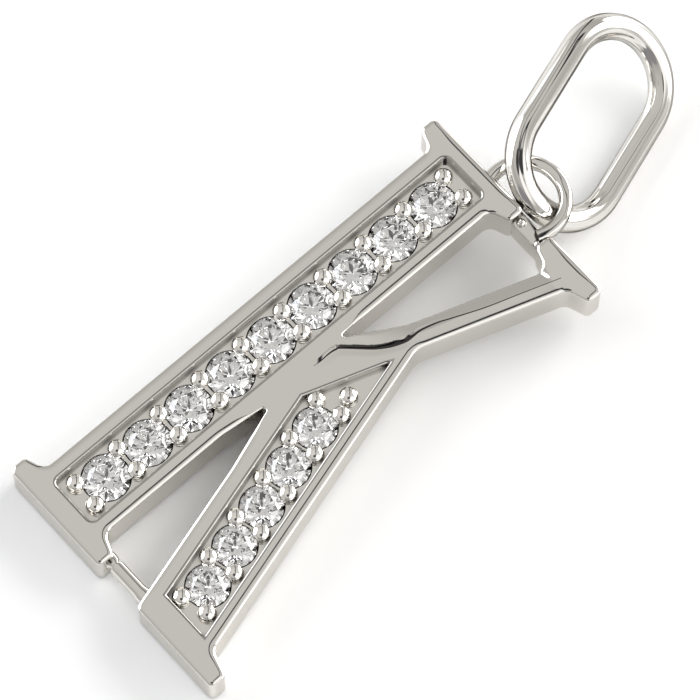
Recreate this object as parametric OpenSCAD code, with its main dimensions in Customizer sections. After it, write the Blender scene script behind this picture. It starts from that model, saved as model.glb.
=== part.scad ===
// Letter K initial pendant with a stone-set stem and leg, lying face up.
// Units are millimetres. X runs along the foot of the letter, Y up the letter, Z up from the floor.
// The letter's cap end rests on the wire of its own bail, so the letter leans by a small angle.

/* [Letter] */
// Height of the letter from foot to cap
cap_height = 16.27; // [15:0.01:18]
// Thickness of the letter
thickness = 1.3; // [1.2:0.05:1.6]
// Width of the stem
stem_width = 2.6; // [2.5:0.05:2.9]
// Width of the leg, square across it
leg_width = 2.5; // [2.4:0.05:2.8]
// Lean of the leg from the stem's direction in degrees
leg_lean = 15.6; // [14:0.1:17]
// Centre of the leg across the letter, half way up the leg
leg_centre_x = 3.545; // [3.4:0.005:3.7]
// Height of that point above the foot
leg_centre_y = 4.64; // [4.4:0.01:4.8]
// Width of the arm, square across it
arm_width = 0.82; // [0.7:0.01:0.95]
// Lean of the arm from the stem's direction in degrees
arm_lean = 19.4; // [18:0.1:21]
// Centre of the arm across the letter, half way up the arm
arm_centre_x = 3.3; // [3.2:0.01:3.4]
// Height of that point above the foot
arm_centre_y = 13; // [12.5:0.1:13.5]
// Drop of the arm's two roof faces from ridge to edge
arm_roof_drop = 0.15; // [0.05:0.01:0.3]
// Height of the cap end's back edge above the floor, where the bail's wire holds it
cap_lift = 0.568; // [0.53:0.001:0.62]

/* [Serifs] */
// Overhang of a stem serif beyond the stem
serif_reach = 0.64; // [0.5:0.01:0.75]
// Depth of a serif at its tip
serif_tip = 0.56; // [0.45:0.01:0.65]
// Depth of a serif at its root
serif_root = 0.8; // [0.7:0.01:0.9]
// Radius of the fillet at a serif's root
serif_fillet = 0.35; // [0.2:0.01:0.45]
// Radius of a serif's two outer corners
serif_corner = 0.14; // [0.05:0.01:0.2]
// Right-hand end of the leg's serif
leg_serif_end = 6.73; // [6.6:0.01:6.8]
// Left-hand end of the arm's serif
arm_serif_start = 3; // [2.9:0.01:3.1]
// Right-hand end of the arm's serif
arm_serif_end = 5.3; // [5.2:0.01:5.4]

/* [Trays and stones] */
// Diameter of a stem stone
stem_stone = 1.4; // [1.3:0.01:1.44]
// Spacing of the stem stones
stem_pitch = 1.565; // [1.55:0.005:1.58]
// Width of the stem's tray
stem_tray_width = 1.66; // [1.6:0.01:1.75]
// Diameter of a leg stone
leg_stone = 1.28; // [1.2:0.01:1.29]
// Spacing of the leg stones
leg_pitch = 1.4; // [1.39:0.005:1.41]
// Width of the leg's tray
leg_tray_width = 1.56; // [1.5:0.01:1.6]
// Depth of the trays below the face
tray_depth = 0.3; // [0.2:0.01:0.35]
// Radius of a bead prong
bead_radius = 0.25; // [0.2:0.01:0.26]
// Clearance between a stone and its seat
seat_gap = 0.035; // [0.02:0.005:0.04]
// Radius of the drilled hole behind each stone
back_hole_radius = 0.3; // [0.2:0.01:0.35]

/* [Bars, bridge and eyelet] */
// Radius of the round bar that joins the two feet
bar_radius = 0.235; // [0.15:0.005:0.3]
// Height of that bar's axis above the foot line
bar_y = 0.46; // [0.4:0.01:0.5]
// Height of the bridge plate at the cap
bridge_height = 0.95; // [0.7:0.01:1]
// Radius of the eyelet's wire
eyelet_wire = 0.21; // [0.15:0.01:0.22]
// Radius of the eyelet to the middle of its wire
eyelet_radius = 1.2; // [1.15:0.01:1.25]
// Centre of the eyelet across the letter
eyelet_x = 1.668; // [1.6:0.001:1.7]
// Centre of the eyelet above the cap line
eyelet_rise = 0.253; // [0.2:0.001:0.3]
// Gap between the letter's face and the top of the eyelet
eyelet_sink = 0.03; // [0:0.01:0.1]

/* [Bail] */
// Radius of the bail's wire
bail_wire = 0.395; // [0.36:0.005:0.395]
// Half the distance between the middles of the bail's two long sides
bail_half_width = 1.735; // [1.72:0.005:1.76]
// Half the length of the bail's straight sides
bail_half_straight = 1.387; // [1.2:0.001:1.6]
// Turn of the bail on the floor in degrees
bail_heading = 18.3; // [18:0.1:18.6]
// Roll of the bail about its long axis in degrees
bail_roll = 37; // [36.5:0.1:37.5]
// Middle of the bail to the left of the eyelet's centre
bail_shift = 0.615; // [0.59:0.001:0.64]
// Middle of the bail beyond the cap
bail_rise = 3.402; // [3.38:0.001:3.44]

/* [Hidden] */
$fn = 64;

METAL = [0.83, 0.82, 0.80];
STONE = [0.93, 0.95, 0.97];

// reach of a cutter past the face that it cuts, and of a joined piece into its neighbour
through = 0.5;
// flats in the arc of a rounded or filleted corner
ARC_FLATS = 8;
stem_half = stem_width / 2;

// stones: counts, and how far the middle of each row stands above the foot line
STEM_COUNT = 9;
LEG_COUNT = 5;
stem_row_y = 8.2;
leg_row_y = 4.66;
// scallops of the tray walls round each stone, beyond the stone's own radius
scallop = 0.2;
// radius of the stem tray's corners
tray_corner = 0.18;
// gap between the stem's tray and the foot line, and the cap line
stem_tray_foot = 0.7;
stem_tray_cap = 0.58;
// gap between the leg's tray and the foot line
leg_tray_foot = 0.87;
// the leg's tray sits off the leg's centre line, and clear of the arm's edge
leg_tray_shift = 0.053;
arm_tray_gap = 0.095;
// gap between the letter's face and the top of a bead, and between a bead and a seat
bead_top_gap = 0.03;
bead_clear = 0.005;
// run of a bead's post into the floor of its tray
bead_root = 0.25;
// one more bead in the pointed end of the leg's tray, along the leg from the last stone
tip_bead_along = 1.3;
tip_bead_across = 0.3;

// cut of the stones: the table, the tips of the lower facets and the depth of the girdle,
// as shares of the girdle radius, then the slopes of crown and pavilion in degrees
table_share = 0.56;
lower_share = 0.24;
girdle_share = 0.05;
crown_angle = 34.5;
pavilion_angle = 40.75;
FACETS = 8;

// fillets inside the two counters and outside the crook of arm and leg
upper_fillet = 0.23;
lower_fillet = 0.22;
crook_fillet = 0.8;

// height of the bar's axis above the back, and depth of the bridge below the cap line
bar_z = 0.75;
bridge_depth = 0.5;
// run of the bar and the bridge inside each serif
let_in = 0.3;
// angle that the eyelet runs on past its half circle at each end, down into the letter
eyelet_dip = 25;
// the arm's roof faces: reach past the arm's edge, end of the ridge, foot of the left face
// beside the stem, and end of the right face at the crook
roof_over = 0.1;
roof_end_y = 10.6;
roof_toe = [1.45, 9.45];
roof_crook_y = 11.25;

// sideways run for each millimetre of height, and the middle lines of leg and arm
function rise(lean) = tan(lean);
function leg_x(y) = leg_centre_x - (y - leg_centre_y) * rise(leg_lean);
function arm_x(y) = arm_centre_x + (y - arm_centre_y) * rise(arm_lean);
leg_half = leg_width / 2 / cos(leg_lean);
arm_half = arm_width / 2 / cos(arm_lean);

// apex of each counter on the stem's right edge, and the crook of arm and leg
upper_apex = arm_centre_y + (stem_half + arm_half - arm_centre_x) / rise(arm_lean);
lower_apex = leg_centre_y + (leg_centre_x - leg_half - stem_half) / rise(leg_lean);
crook_y = (leg_centre_x + leg_half + leg_centre_y * rise(leg_lean)
        - arm_centre_x - arm_half + arm_centre_y * rise(arm_lean))
        / (rise(leg_lean) + rise(arm_lean));
crook = [leg_x(crook_y) + leg_half, crook_y];

// lean of the letter from the floor in degrees, and the middle of the bail from the foot line
lie_tilt = asin(cap_lift / cap_height);
bail_x = eyelet_x - bail_shift;
bail_y = cap_height * cos(lie_tilt) + bail_rise;

// overall extents, for the origin at the middle of the foot of the bounding box
bail_reach_y = bail_y + bail_half_straight * cos(bail_heading) + bail_wire
        + bail_half_width * sqrt(pow(cos(bail_heading), 2)
        + pow(cos(bail_roll) * sin(bail_heading), 2));
origin_x = (leg_serif_end - stem_half - serif_reach) / 2;
origin_y = (bail_reach_y - thickness * sin(lie_tilt)) / 2;
bail_z = bail_wire + bail_half_width * sin(bail_roll);
eyelet_z = thickness - eyelet_sink - eyelet_wire;

function polar(angle) = [cos(angle), sin(angle)];
function unit(v) = v / norm(v);
function heading(v) = atan2(v[1], v[0]);
function short_turn(a) = a > 180 ? a - 360 : a < -180 ? a + 360 : a;

// Points of an arc of short flats that rounds the corner at c, between its neighbours p and n.
function arc(p, c, n, radius) =
    let (
        u = unit(p - c),
        v = unit(n - c),
        half = acos(u * v) / 2,
        centre = c + unit(u + v) * radius / sin(half),
        start = heading(c + u * radius / tan(half) - centre),
        end = heading(c + v * radius / tan(half) - centre),
        step = short_turn(end - start) / ARC_FLATS
    )
    [for (k = [0 : ARC_FLATS]) centre + radius * polar(start + k * step)];

// The outline of a list of corners [x, y, radius], with each corner rounded.
function rounded(corners) =
    let (
        count = len(corners),
        at = [for (c = corners) [c[0], c[1]]]
    )
    [for (i = [0 : count - 1])
        each arc(at[(i + count - 1) % count], at[i], at[(i + 1) % count], corners[i][2])];

// The whole letter in plan: foot from left to right, then the cap from right to left.
module letter_plan() {
    low = serif_root;
    high = cap_height - serif_root;
    top_tip = cap_height - serif_tip;
    reach = stem_half + serif_reach;
    polygon(rounded([
        [-reach, 0, serif_corner],
        [reach, 0, serif_corner],
        [reach, serif_tip, serif_corner],
        [stem_half, low, serif_fillet],
        [stem_half, lower_apex, lower_fillet],
        [leg_x(0) - leg_half, 0, serif_corner],
        [leg_serif_end, 0, serif_corner],
        [leg_serif_end, serif_tip, serif_corner],
        [leg_x(low) + leg_half, low, serif_fillet],
        [crook[0], crook[1], crook_fillet],
        [arm_x(high) + arm_half, high, serif_fillet],
        [arm_serif_end, top_tip, serif_corner],
        [arm_serif_end, cap_height, serif_corner],
        [arm_serif_start, cap_height, serif_corner],
        [arm_serif_start, top_tip, serif_corner],
        [arm_x(high) - arm_half, high, serif_fillet],
        [stem_half, upper_apex, upper_fillet],
        [stem_half, high, serif_fillet],
        [reach, top_tip, serif_corner],
        [reach, cap_height, serif_corner],
        [-reach, cap_height, serif_corner],
        [-reach, top_tip, serif_corner],
        [-stem_half, high, serif_fillet],
        [-stem_half, low, serif_fillet],
        [-reach, serif_tip, serif_corner]
    ]));
}

// Place of the stone with number i in each row.
function stem_y(i) = stem_row_y + (i - (STEM_COUNT + 1) / 2) * stem_pitch;
function leg_along(i) = (i - (LEG_COUNT + 1) / 2) * leg_pitch;

// Each tray has straight walls with one scallop round each stone.
module stem_tray_plan() {
    half = stem_tray_width / 2;
    low = stem_tray_foot;
    high = cap_height - stem_tray_cap;
    polygon(rounded([
        [-half, low, tray_corner], [half, low, tray_corner],
        [half, high, tray_corner], [-half, high, tray_corner]
    ]));
    for (i = [1 : STEM_COUNT])
        translate([0, stem_y(i)]) circle(r = stem_stone / 2 + scallop);
}

// Places its children on the leg's row of stones, with +Y up the leg.
module on_leg() {
    translate([leg_x(leg_row_y) + leg_tray_shift, leg_row_y]) rotate(leg_lean) children();
}

// The leg's tray, cut off level at the foot and along the arm's edge at the top.
module leg_tray_plan() {
    half = leg_tray_width / 2;
    far = cap_height;
    edge = arm_half + arm_tray_gap;
    intersection() {
        union() {
            on_leg() translate([-half, -far / 2]) square([leg_tray_width, far]);
            on_leg()
                for (i = [1 : LEG_COUNT])
                    translate([0, leg_along(i)]) circle(r = leg_stone / 2 + scallop);
        }
        polygon([
            [0, leg_tray_foot],
            [leg_serif_end, leg_tray_foot],
            [arm_x(far) + edge + leg_serif_end, far],
            [arm_x(far) + edge, far],
            [arm_x(leg_tray_foot) + edge, leg_tray_foot]
        ]);
    }
}

// A stone's seat: a short cylinder for the girdle, a cone and a drilled hole.
module seat(diameter) {
    top = diameter / 2 + seat_gap;
    step = girdle_share * diameter / 2;
    depth = (top - back_hole_radius) * tan(pavilion_angle);
    translate([0, 0, -step]) cylinder(r = top, h = step + through);
    translate([0, 0, -step - depth]) cylinder(r1 = back_hole_radius, r2 = top, h = depth);
    translate([0, 0, -thickness - through]) cylinder(r = back_hole_radius, h = thickness + through);
}

// A bead prong on a tray's floor: a round post with a dome.
module bead() {
    post = tray_depth - bead_top_gap - bead_radius;
    translate([0, 0, -bead_root]) cylinder(r = bead_radius, h = post + bead_root);
    translate([0, 0, post]) sphere(r = bead_radius);
}

// Beads stand in pairs between the stones, just clear of both seats.
function bead_across(diameter, pitch) = sqrt(pow(diameter / 2 + seat_gap
        + bead_radius + bead_clear, 2) - pow(pitch / 2, 2));

module stem_beads() {
    side = bead_across(stem_stone, stem_pitch);
    for (i = [0 : STEM_COUNT])
        for (s = [-1, 1])
            translate([s * side, stem_y(i) + stem_pitch / 2, 0]) bead();
}

module leg_beads() {
    side = bead_across(leg_stone, leg_pitch);
    on_leg() {
        for (i = [0 : LEG_COUNT])
            for (s = [-1, 1])
                translate([s * side, leg_along(i) + leg_pitch / 2, 0]) bead();
        translate([tip_bead_across, leg_along(LEG_COUNT) + tip_bead_along, 0]) bead();
    }
}

// The arm's roof: two faces that fall from a ridge on its centre line, one on each side.
module roof_cutter(side, plan) {
    reach = arm_width / 2 + roof_over;
    fall = arm_roof_drop * reach / (arm_width / 2);
    top = cap_height - serif_root;
    intersection() {
        translate([arm_x(top), top, thickness])
            rotate([0, 0, -arm_lean])
                rotate([90, 0, 0])
                    linear_extrude(height = cap_height)
                        polygon([
                            [0, 0], [side * reach, -fall], [side * reach, through], [0, through]
                        ]);
        linear_extrude(height = thickness + through) polygon(plan);
    }
}

module roof_left() {
    top = cap_height - serif_root;
    roof_cutter(-1, [
        [arm_x(top), top], [arm_x(roof_end_y), roof_end_y], roof_toe,
        [arm_x(roof_toe[1]) - arm_half - through, roof_toe[1]],
        [arm_x(top) - arm_half - through, top]
    ]);
}

module roof_right() {
    top = cap_height - serif_root;
    roof_cutter(1, [
        [arm_x(top), top], [arm_x(roof_crook_y), roof_crook_y],
        [crook[0], crook[1]], [crook[0] + through, crook[1]],
        [arm_x(top) + arm_half + through, top]
    ]);
}

// The half-round eyelet, which dips into the cap at both ends.
module eyelet() {
    translate([eyelet_x, cap_height + eyelet_rise, eyelet_z])
        rotate([0, 0, -eyelet_dip])
            rotate_extrude(angle = 180 + 2 * eyelet_dip)
                translate([eyelet_radius, 0]) circle(r = eyelet_wire);
}

module roofed_letter() {
    difference() {
        difference() {
            linear_extrude(height = thickness) letter_plan();
            roof_left();
        }
        roof_right();
    }
}

// The letter with its back on Z = 0, before it is leaned on the bail.
module flat_letter() {
    floor_z = thickness - tray_depth;
    serif_inner = stem_half + serif_reach;
    difference() {
        roofed_letter();
        translate([0, 0, floor_z]) linear_extrude(height = tray_depth + through) {
            stem_tray_plan();
            leg_tray_plan();
        }
        translate([0, 0, floor_z]) {
            for (i = [1 : STEM_COUNT])
                translate([0, stem_y(i), 0]) seat(stem_stone);
            on_leg()
                for (i = [1 : LEG_COUNT])
                    translate([0, leg_along(i), 0]) seat(leg_stone);
        }
    }
    translate([0, 0, floor_z]) {
        stem_beads();
        leg_beads();
    }
    translate([serif_inner - let_in, bar_y, bar_z])
        rotate([0, 90, 0])
            cylinder(r = bar_radius, h = leg_x(bar_y) - leg_half - serif_inner + 2 * let_in);
    translate([serif_inner - let_in, cap_height - bridge_depth, 0])
        cube([arm_serif_start - serif_inner + 2 * let_in, bridge_depth, bridge_height]);
    eyelet();
}

// A round brilliant with its girdle on Z = 0 and its table up.
module brilliant(diameter) {
    r = diameter / 2;
    turn = 360 / FACETS;
    half_turn = turn / 2;
    belt = girdle_share * r;
    table_r = table_share * r;
    star_r = (table_r * cos(half_turn) + r) / 2;
    lower_r = lower_share * r;
    table_z = (r - table_r) * tan(crown_angle);
    star_z = (r - star_r * cos(half_turn)) * tan(crown_angle);
    lower_z = -belt - (r - lower_r * cos(half_turn)) * tan(pavilion_angle);
    culet_z = -belt - r * tan(pavilion_angle);
    ring = [for (i = [0 : FACETS - 1]) i];
    double = [for (i = [0 : 2 * FACETS - 1]) i];
    points = concat(
        [for (i = ring) [each table_r * polar(i * turn), table_z]],
        [for (i = ring) [each star_r * polar(i * turn + half_turn), star_z]],
        [for (i = double) [each r * polar(i * half_turn), 0]],
        [for (i = double) [each r * polar(i * half_turn), -belt]],
        [for (i = ring) [each lower_r * polar(i * turn + half_turn), lower_z]],
        [[0, 0, culet_z]]
    );
    star = FACETS;
    upper = 2 * FACETS;
    lower = 4 * FACETS;
    deep = 6 * FACETS;
    culet = 7 * FACETS;
    function next(i) = (i + 1) % FACETS;
    function prev(i) = (i + FACETS - 1) % FACETS;
    function wrap(i) = (i + 2 * FACETS) % (2 * FACETS);
    faces = concat(
        [[for (i = ring) FACETS - 1 - i]],
        [for (i = ring) [i, next(i), star + i]],
        [for (i = ring) [i, star + i, upper + 2 * i, star + prev(i)]],
        [for (i = ring) [star + i, upper + 2 * i + 1, upper + 2 * i]],
        [for (i = ring) [star + i, upper + wrap(2 * i + 2), upper + 2 * i + 1]],
        [for (i = double) [upper + i, upper + wrap(i + 1), lower + wrap(i + 1), lower + i]],
        [for (i = ring) [lower + 2 * i, lower + 2 * i + 1, deep + i]],
        [for (i = ring) [lower + 2 * i + 1, lower + wrap(2 * i + 2), deep + i]],
        [for (i = ring) [lower + 2 * i, deep + i, culet, deep + prev(i)]]
    );
    polyhedron(points = points, faces = faces, convexity = 2);
}

// Moves the flat letter and its stones into their resting place.
module lying() {
    translate([-origin_x, -origin_y, 0]) rotate([lie_tilt, 0, 0]) children();
}

module letter_frame() {
    color(METAL) lying() flat_letter();
}

module stem_stone_at(i) {
    color(STONE) lying()
        translate([0, stem_y(i), thickness - tray_depth]) brilliant(stem_stone);
}

module leg_stone_at(i) {
    color(STONE) lying()
        translate([0, 0, thickness - tray_depth])
            on_leg() translate([0, leg_along(i), 0]) brilliant(leg_stone);
}

// The oval bail, one closed wire with its right-hand side on the floor.
module bail() {
    color(METAL)
        translate([bail_x - origin_x, bail_y - origin_y, bail_z])
            rotate([0, bail_roll, bail_heading])
                for (s = [0, 1]) rotate([0, 0, 180 * s]) {
                    translate([bail_half_width, bail_half_straight, 0]) rotate([90, 0, 0])
                        cylinder(r = bail_wire, h = 2 * bail_half_straight);
                    translate([0, bail_half_straight, 0]) rotate_extrude(angle = 180)
                        translate([bail_half_width, 0]) circle(r = bail_wire);
                }
}

letter_frame();
bail();
stem_stone_at(1);  // stem_stone_1
stem_stone_at(2);  // stem_stone_2
stem_stone_at(3);  // stem_stone_3
stem_stone_at(4);  // stem_stone_4
stem_stone_at(5);  // stem_stone_5
stem_stone_at(6);  // stem_stone_6
stem_stone_at(7);  // stem_stone_7
stem_stone_at(8);  // stem_stone_8
stem_stone_at(9);  // stem_stone_9
leg_stone_at(1);  // leg_stone_1
leg_stone_at(2);  // leg_stone_2
leg_stone_at(3);  // leg_stone_3
leg_stone_at(4);  // leg_stone_4
leg_stone_at(5);  // leg_stone_5
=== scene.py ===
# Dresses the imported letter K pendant: polished metal with rounded edges, domed beads, clear stones,
# a plain pale floor and soft studio light. Lengths in the shape functions are millimetres, as in
# the part's source, and become metres when a mesh is made.
import math

import bmesh
import bpy
import numpy as np
from mathutils import Matrix, Vector
from mathutils.geometry import delaunay_2d_cdt


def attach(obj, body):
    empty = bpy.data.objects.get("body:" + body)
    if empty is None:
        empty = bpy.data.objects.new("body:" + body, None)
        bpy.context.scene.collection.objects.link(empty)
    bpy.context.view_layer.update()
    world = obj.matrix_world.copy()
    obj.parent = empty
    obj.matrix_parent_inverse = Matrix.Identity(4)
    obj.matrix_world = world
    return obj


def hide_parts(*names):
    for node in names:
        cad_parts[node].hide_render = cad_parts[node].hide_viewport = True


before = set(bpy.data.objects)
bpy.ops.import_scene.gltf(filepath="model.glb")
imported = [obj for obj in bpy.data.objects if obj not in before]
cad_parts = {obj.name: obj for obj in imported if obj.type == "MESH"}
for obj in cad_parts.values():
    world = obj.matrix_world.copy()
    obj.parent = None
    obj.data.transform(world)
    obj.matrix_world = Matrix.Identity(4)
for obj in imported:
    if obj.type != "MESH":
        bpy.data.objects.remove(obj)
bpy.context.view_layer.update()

MM = 0.001

# The letter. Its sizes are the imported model's, but for the rounder corners of the serifs
CAP_HEIGHT = 16.27
THICKNESS = 1.3
STEM_WIDTH = 2.6
LEG_WIDTH = 2.5
LEG_LEAN = math.radians(15.6)
LEG_CENTRE = (3.545, 4.64)
ARM_WIDTH = 0.82
ARM_LEAN = math.radians(19.4)
ARM_CENTRE = (3.3, 13.0)
ARM_ROOF_DROP = 0.15
CAP_LIFT = 0.568
SERIF_REACH = 0.64
SERIF_TIP = 0.56
SERIF_ROOT = 0.8
SERIF_FILLET = 0.35
SERIF_CORNER = 0.2
LEG_SERIF_END = 6.73
ARM_SERIF_START = 3.0
ARM_SERIF_END = 5.3
CROOK_FILLET = 0.8
# The counters' sides bend a little towards their tips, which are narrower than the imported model's:
# radii of the tips and bends, heights of the bends, and the places of the two tips
TIP_FILLET = 0.07
BEND = 2.2
LOWER_BEND = 5.2
LEG_BEND = 4.7
LOWER_TIP = (1.5, 6.85)
ARM_BEND = 11.4
UPPER_TIP = 9.56

# Trays, stones and beads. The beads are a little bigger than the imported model's and stand nearer to
# the middle of their row, so that their heads lap over the stones
STEM_STONE = 1.4
STEM_PITCH = 1.565
STEM_COUNT = 9
STEM_ROW_Y = 8.2
STEM_TRAY_WIDTH = 1.66
STEM_TRAY_FOOT = 0.7
STEM_TRAY_CAP = 0.58
LEG_STONE = 1.28
LEG_PITCH = 1.4
LEG_COUNT = 5
LEG_ROW_Y = 4.66
LEG_TRAY_WIDTH = 1.56
LEG_TRAY_FOOT = 0.87
LEG_TRAY_SHIFT = 0.053
# The leg's tray along its row, before it is cut off at the foot and the arm
LEG_STRIP = (-6, 8)
ARM_TRAY_GAP = 0.095
TRAY_DEPTH = 0.3
TRAY_CORNER = 0.18
SEAT_GAP = 0.035
BACK_HOLE = 0.3
PAVILION = math.radians(40.75)
GIRDLE_SHARE = 0.05
BEAD_RADIUS = 0.28
BEAD_POST = 0.15
BEAD_SQUAT = 0.72
BEAD_ACROSS = 0.43
# How far a bead's post reaches below the tray's floor, and the radius that its top closes to
BEAD_FOOT = 0.05
BEAD_POLE = 0.002
BEAD_STEPS = 18
# The lone bead near the tip of the leg's tray: across the row, and past the last stone's middle
TIP_BEAD = (0.3, 1.3)

# Bar, bridge, eyelet and bail
BAR_RADIUS = 0.235
BAR_Y = 0.46
BAR_Z = 0.75
# The bar's groove, measured from the stem's serif, and its flare, measured back from the leg:
# how far away, how wide, and how deep or high as a share of the bar's radius
BAR_GROOVE = (0.14, 0.05, 0.4)
BAR_FLARE = (0.1, 0.12, 0.18)
BAR_RINGS = 70
BRIDGE_DEPTH = 0.5
BRIDGE_HEIGHT = 0.95
BRIDGE_BEVEL = 0.06
BRIDGE_SHARP = math.radians(35)
# Solder on the bridge: x, y, radius and height
SOLDER = (
    (2.1, 16.0, 0.16, 0.16),
    (2.92, 15.9, 0.16, 0.18),
    (2.82, 16.22, 0.2, 0.22),
    (3.02, 16.12, 0.16, 0.3),
)
SOLDER_SINK = 0.06
SOLDER_POLE = 0.003
SOLDER_STEPS = 12
SOLDER_SIDES = 24
# How far the bar and the bridge reach into the letter
LET_IN = 0.3
# How round a wire's section is: 1 is a circle, and less is nearer to a square
WIRE_SQUARE = 0.8
BAIL_SQUARE = 0.86
EYELET_WIRE = 0.21
EYELET_RADIUS = 1.2
EYELET_X = 1.668
EYELET_RISE = 0.253
EYELET_SINK = 0.03
EYELET_DIP = math.radians(25)
EYELET_RINGS = 48
EYELET_SIDES = 64
BAIL_WIRE = 0.395
# Lines round the wire: how many, how far they lean in degrees, and how far they wander
BAIL_LINES = ((5, 7, 0.5), (9, 8, 0.7), (14, 6, 0.9))
RING_LINES = ((4, 6, 0.6), (7, 7, 0.9))
# They wander and swell so many times along a wire, and swell by this share
LINE_WANDERS = 3
LINE_SWELLS = 5
LINE_SWELL = 0.3
BAIL_HALF_WIDTH = 1.735
BAIL_HALF_STRAIGHT = 1.387
BAIL_HEADING = math.radians(18.3)
BAIL_ROLL = math.radians(37)
BAIL_SHIFT = 0.615
BAIL_RISE = 3.402
BAIL_SIDES = 112
# Steps along each straight side and round each end
BAIL_STEPS = (9, 48)

# Rounding of the letter's edges: width and depth at the face and at the trays, radius at the back
FACE_ROUND = (0.24, 0.08)
TRAY_ROUND = (0.09, 0.05)
BACK_ROUND = 0.06
# The face's edge is only this wide by the serifs' corners and by the counters' tips, and widens to its
# full width between these two distances from them
TIP_ROUND = 0.17
TIP_REACH = (0.25, 0.9)
APEX_ROUND = 0.06
APEX_REACH = (0.3, 1.0)

# How finely arcs, edges, trays and seats are divided
ARC_FLATS = 10
ROUND_STEPS = 7
BACK_STEPS = 4
TRAY_FLATS = 6
TRAY_STEP = 0.035
SEAT_SIDES = 40

LIE_TILT = math.asin(CAP_LIFT / CAP_HEIGHT)
STEM_HALF = STEM_WIDTH / 2
LEG_HALF = LEG_WIDTH / 2 / math.cos(LEG_LEAN)
ARM_HALF = ARM_WIDTH / 2 / math.cos(ARM_LEAN)
STEM_REACH = STEM_HALF + SERIF_REACH
BAIL_X = EYELET_X - BAIL_SHIFT
BAIL_Y = CAP_HEIGHT * math.cos(LIE_TILT) + BAIL_RISE


def leg_x(y):
    return LEG_CENTRE[0] - (y - LEG_CENTRE[1]) * math.tan(LEG_LEAN)


def arm_x(y):
    return ARM_CENTRE[0] + (y - ARM_CENTRE[1]) * math.tan(ARM_LEAN)


CROOK_Y = (
    LEG_CENTRE[0] + LEG_HALF + LEG_CENTRE[1] * math.tan(LEG_LEAN)
    - ARM_CENTRE[0] - ARM_HALF + ARM_CENTRE[1] * math.tan(ARM_LEAN)
) / (math.tan(LEG_LEAN) + math.tan(ARM_LEAN))
CROOK = (leg_x(CROOK_Y) + LEG_HALF, CROOK_Y)

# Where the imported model's origin lies in the letter's own frame
REACH_Y = (
    BAIL_Y + BAIL_HALF_STRAIGHT * math.cos(BAIL_HEADING) + BAIL_WIRE
    + BAIL_HALF_WIDTH * math.hypot(math.cos(BAIL_HEADING), math.cos(BAIL_ROLL) * math.sin(BAIL_HEADING))
)
ORIGIN_X = (LEG_SERIF_END - STEM_REACH) / 2
ORIGIN_Y = (REACH_Y - THICKNESS * math.sin(LIE_TILT)) / 2


# The camera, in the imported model's frame

CAMERA_TARGET = Vector((-1.043, -1.493, 0.0)) * MM
CAMERA_HEADING = math.radians(-44.428)
CAMERA_ELEVATION = math.radians(68.005)
CAMERA_ROLL = math.radians(3.979)
CAMERA_DISTANCE = 144.7 * MM
FOCAL_PIXELS = 5000
FRAME_PIXELS = 700
SENSOR = 36
CLIP_START = 0.01


def camera_turn():
    """The direction that the camera looks in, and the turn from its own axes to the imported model's frame."""
    ahead = Vector((
        math.sin(CAMERA_HEADING) * math.cos(CAMERA_ELEVATION),
        math.cos(CAMERA_HEADING) * math.cos(CAMERA_ELEVATION),
        -math.sin(CAMERA_ELEVATION),
    ))
    right = ahead.cross(Vector((0, 0, 1))).normalized()
    up = right.cross(ahead)
    return ahead, Matrix((right, up, -ahead)).transposed() @ Matrix.Rotation(CAMERA_ROLL, 3, "Z")


def from_photo(column, row):
    """Across and up the letter: the place of its face that a pixel of the photo shows."""
    ahead, turn = camera_turn()
    eye = (CAMERA_TARGET - ahead * CAMERA_DISTANCE) / MM + Vector((ORIGIN_X, ORIGIN_Y, 0))
    half = FRAME_PIXELS / 2
    ray = turn @ Vector(((column - half) / FOCAL_PIXELS, (half - row) / FOCAL_PIXELS, -1))
    upright = Matrix.Rotation(-LIE_TILT, 3, "X")
    eye, ray = upright @ eye, upright @ ray
    place = eye + ray * (THICKNESS - eye.z) / ray.z
    return place.x, place.y


# Plane geometry

def corner_frame(corners, i):
    """A corner's place, unit vectors towards its neighbours and midway between, and half its angle."""
    corner = np.array(corners[i][:2])
    before = np.array(corners[i - 1][:2]) - corner
    after = np.array(corners[(i + 1) % len(corners)][:2]) - corner
    before /= np.linalg.norm(before)
    after /= np.linalg.norm(after)
    middle = (before + after) / np.linalg.norm(before + after)
    return corner, before, after, middle, math.acos(before @ after) / 2


def rounded(corners, flats=ARC_FLATS):
    """The outline of a list of corners (x, y, radius), each rounded by an arc of short flats."""
    points = []
    for i, (_, _, radius) in enumerate(corners):
        corner, before, after, middle, half = corner_frame(corners, i)
        centre = corner + middle * radius / math.sin(half)
        start = corner + before * radius / math.tan(half) - centre
        end = corner + after * radius / math.tan(half) - centre
        angle = math.atan2(start[1], start[0])
        turn = math.atan2(end[1], end[0]) - angle
        turn = (turn + math.pi) % math.tau - math.pi
        for k in range(flats + 1):
            a = angle + turn * k / flats
            points.append(centre + radius * np.array((math.cos(a), math.sin(a))))
    return np.array(points)


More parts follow.
